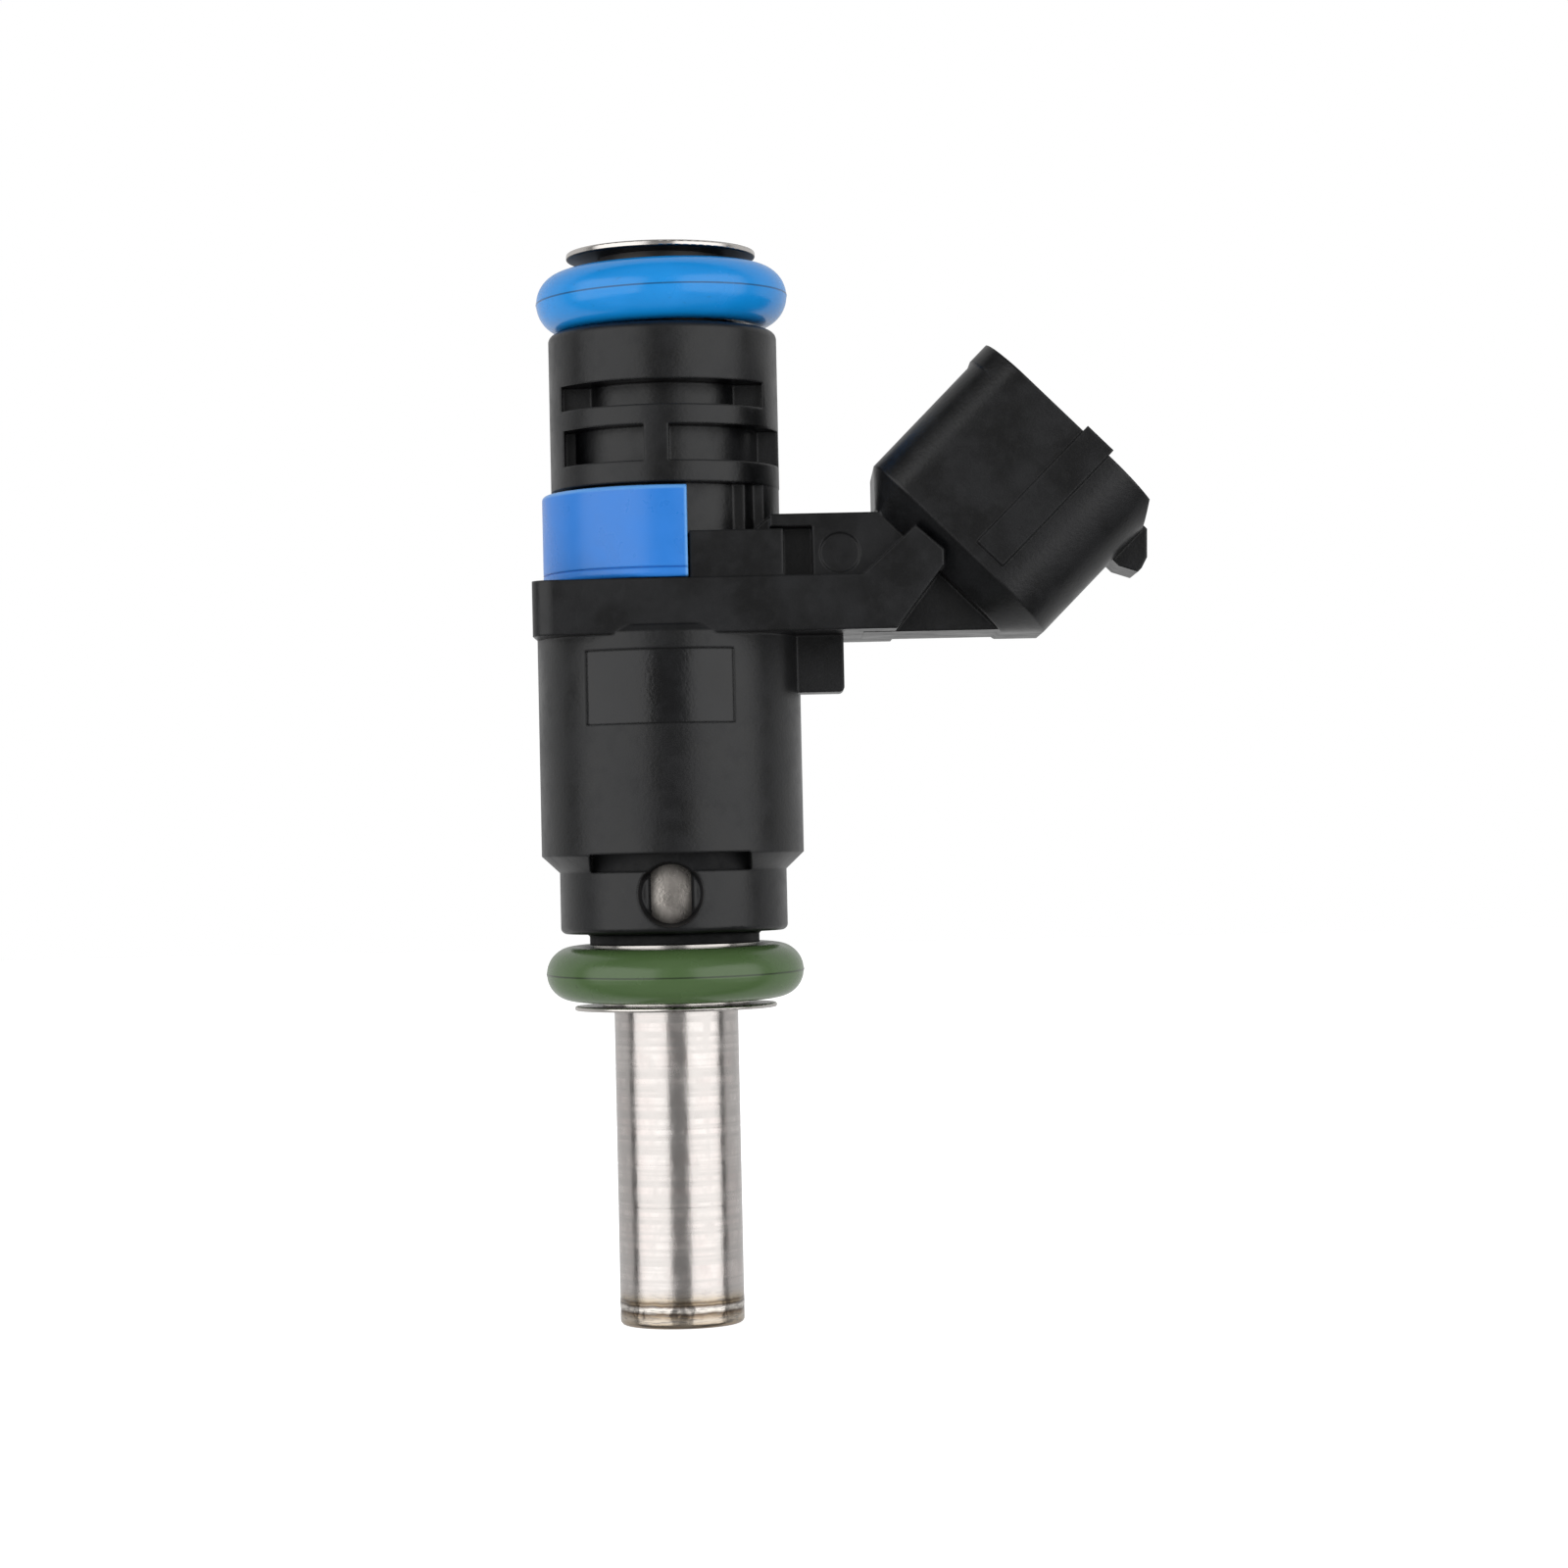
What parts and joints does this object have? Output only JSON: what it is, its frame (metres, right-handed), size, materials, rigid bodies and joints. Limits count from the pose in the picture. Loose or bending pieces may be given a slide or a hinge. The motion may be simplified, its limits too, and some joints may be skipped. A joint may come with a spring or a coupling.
{
  "type": "port fuel injector",
  "caption": "Solenoid port fuel injector with extended steel tip, moulded body, O-ring seals, snap clip and angled two-way plug socket.",
  "frame": {"origin": "centre of the spray tip's end face, on the injector's axis", "axes": "+Z along the injector's axis from the spray tip to the fuel inlet, +X towards the plug connector, +Y away from the viewer who sees the connector on the right"},
  "size_m": [0.0344, 0.0148, 0.0606],
  "materials": {
    "overmold_housing": "satin glass-filled nylon",
    "locating_clip": "satin moulded",
    "upper_seal_ring": "moulded fluoroelastomer",
    "lower_seal_ring": "moulded fluoroelastomer",
    "inlet_tube": "turned stainless",
    "seal_retainer": "stamped stainless",
    "tip_tube": "turned stainless",
    "valve_body": "turned stainless",
    "magnet_housing": "dull deep-drawn",
    "orifice_plate": "etched",
    "valve_seat": "ground",
    "valve_ball": "polished",
    "needle_tube": "drawn",
    "needle_guide": "stamped",
    "armature": "plated soft iron",
    "spacer_ring": "turned stainless",
    "pole_piece": "plated soft iron",
    "return_spring": "drawn spring wire",
    "setting_sleeve": "rolled",
    "coil_bobbin": "moulded",
    "coil_winding": "enamelled copper wire",
    "magnet_cover": "stamped",
    "filter_collar": "drawn",
    "filter_cage": "moulded",
    "filter_screen": "woven nylon mesh",
    "terminal_pin_left": "tin plated",
    "terminal_pin_right": "tin plated"
  },
  "bodies": {
    "injector_body": {"overmold_housing": "overmold_housing", "locating_clip": "locating_clip", "upper_seal_ring": "upper_seal_ring", "lower_seal_ring": "lower_seal_ring", "inlet_tube": "inlet_tube", "seal_retainer": "seal_retainer", "tip_tube": "tip_tube", "valve_body": "valve_body", "magnet_housing": "magnet_housing", "orifice_plate": "orifice_plate", "valve_seat": "valve_seat", "needle_guide": "needle_guide", "spacer_ring": "spacer_ring", "pole_piece": "pole_piece", "return_spring": "return_spring", "setting_sleeve": "setting_sleeve", "coil_bobbin": "coil_bobbin", "coil_winding": "coil_winding", "magnet_cover": "magnet_cover", "filter_collar": "filter_collar", "filter_cage": "filter_cage", "filter_screen": "filter_screen", "terminal_pin_left": "terminal_pin_left", "terminal_pin_right": "terminal_pin_right"},
    "needle_assembly": {"armature": "armature", "needle_tube": "needle_tube", "valve_ball": "valve_ball"}
  },
  "joints": [
    {"name": "needle_lift", "type": "slide", "parent": "injector_body", "child": "needle_assembly", "axis": [0, 0, 1], "range_m": [0, 0.0001], "stiffness_N_per_m": 1100, "springref_m": -0.0025, "deforming": ["return_spring"]}
  ]
}
